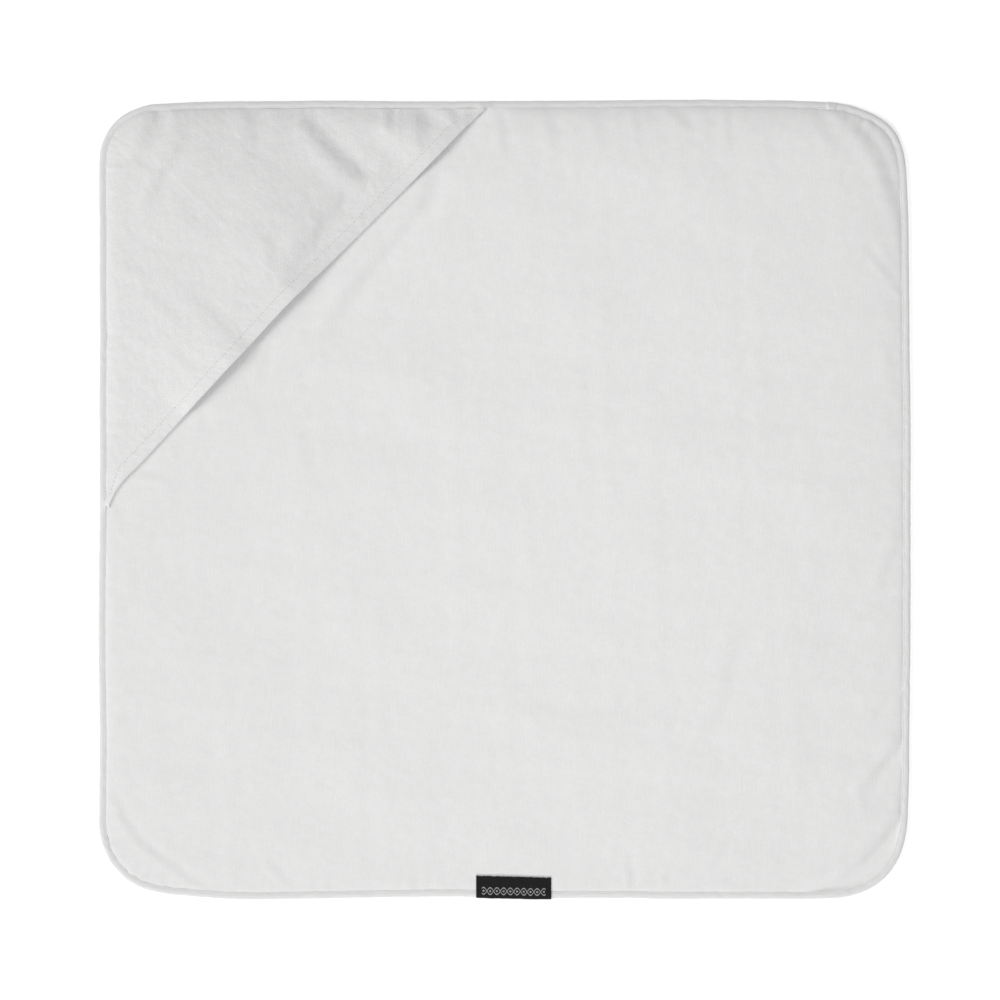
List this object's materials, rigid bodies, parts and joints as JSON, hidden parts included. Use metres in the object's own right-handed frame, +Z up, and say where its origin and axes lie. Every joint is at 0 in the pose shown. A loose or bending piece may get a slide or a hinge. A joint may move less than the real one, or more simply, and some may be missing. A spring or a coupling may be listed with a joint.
{
  "type": "hooded baby towel",
  "caption": "Square terry baby towel with rounded corners, bound edge and a sewn corner hood that opens as the towel folds along its diagonal.",
  "frame": {"origin": "on the surface that the towel lies on, under the middle of its bounding box", "axes": "+X along the top edge, from the hood's corner to the upper right corner; +Y up the left edge, towards the hood's corner; +Z up out of the cloth"},
  "size_m": [0.75, 0.7373, 0.0129],
  "materials": {
    "terry_cloth": "brushed cotton terry, off-white",
    "binding_tape": "matte knitted cotton tape, off-white",
    "sewing_thread": "spun polyester thread, off-white",
    "label_weave": "black woven satin tape"
  },
  "bodies": {
    "towel_lower": {"body_panel_lower": "terry_cloth", "edge_binding_lower": "binding_tape", "binding_thread_lower": "sewing_thread", "hood_seam_edge_lower": "terry_cloth", "woven_label": "label_weave", "label_thread": "sewing_thread"},
    "towel_upper": {"body_panel_upper": "terry_cloth", "edge_binding_upper": "binding_tape", "binding_thread_upper": "sewing_thread", "hood_seam_edge_upper": "terry_cloth", "binding_end_lap": "binding_tape"},
    "hood_lower": {"hood_panel_lower": "terry_cloth", "hood_hem_lower": "terry_cloth", "hood_hem_thread_lower": "sewing_thread"},
    "hood_upper": {"hood_panel_upper": "terry_cloth", "hood_hem_upper": "terry_cloth", "hood_hem_thread_upper": "sewing_thread"}
  },
  "joints": [
    {"name": "wrap_fold", "type": "hinge", "parent": "towel_lower", "child": "towel_upper", "pos_m": [-0.35429, 0.34779, 0.0027], "axis": [0.7071, -0.7071, 0], "range_deg": [0, 40]},
    {"name": "hood_seam_lift", "type": "hinge", "parent": "towel_lower", "child": "hood_lower", "pos_m": [-0.35429, 0.34779, 0.0027], "axis": [-0.0412, -0.9992, 0], "range_deg": [0, 54.2]},
    {"name": "hood_ridge_fold", "type": "hinge", "parent": "hood_lower", "child": "hood_upper", "pos_m": [-0.35429, 0.34779, 0.0027], "axis": [-0.7067, 0.7067, -0.0321], "range_deg": [0, 36.9]}
  ],
  "couplings": [
    {"joint": "hood_seam_lift", "follows": "wrap_fold", "ratio": 1.3525},
    {"joint": "hood_ridge_fold", "follows": "wrap_fold", "ratio": 0.91877}
  ]
}
